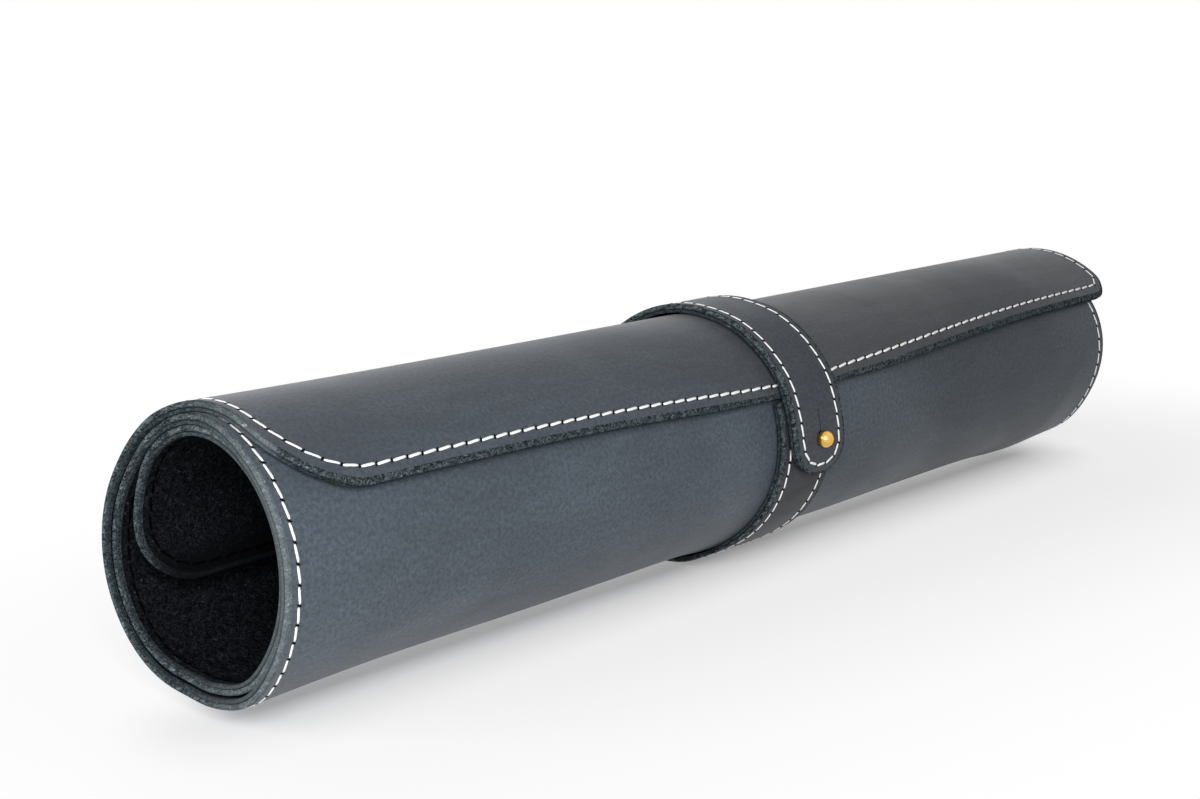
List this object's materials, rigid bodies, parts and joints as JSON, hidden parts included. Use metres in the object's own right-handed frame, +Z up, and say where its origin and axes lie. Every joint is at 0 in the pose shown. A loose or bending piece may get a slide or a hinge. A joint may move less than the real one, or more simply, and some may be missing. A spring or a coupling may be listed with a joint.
{
  "type": "leather desk pad",
  "caption": "Felt-lined leather desk pad rolled up into a tube, held by a stitched leather strap that buttons over a brass ball stud.",
  "frame": {"origin": "middle of the base of the bounding box, on the desk under the roll", "axes": "+X along the roll, +Z up, -Y towards the side with the brass stud"},
  "size_m": [0.4336, 0.1046, 0.0952],
  "materials": {
    "leather": "waxed pull-up leather, dark blue-grey with soft mottling",
    "felt": "black wool felt",
    "white_thread": "white waxed thread",
    "black_thread": "black waxed thread",
    "brass": "polished solid brass"
  },
  "bodies": {
    "pad": {"pad_leather": "leather", "pad_lining": "felt", "pad_needle_thread": "white_thread", "pad_bobbin_thread": "black_thread"},
    "strap": {"strap_leather": "leather", "strap_lining": "felt", "strap_needle_thread": "white_thread", "strap_bobbin_thread": "black_thread", "stud_ball": "brass", "stud_screw": "brass"},
    "tongue": {"tongue_leather": "leather", "tongue_lining": "felt", "tongue_needle_thread": "white_thread", "tongue_bobbin_thread": "black_thread"}
  },
  "joints": [
    {"name": "strap_slide", "type": "slide", "parent": "pad", "child": "strap", "axis": [1, 0, 0], "range_m": [-0.15, 0.15]},
    {"name": "tongue_lift", "type": "hinge", "parent": "strap", "child": "tongue", "pos_m": [-0.00289, -0.01998, 0.09041], "axis": [-1, 0, 0], "range_deg": [0, 90], "deforming": ["tongue_leather", "tongue_lining", "tongue_needle_thread", "tongue_bobbin_thread"]}
  ]
}
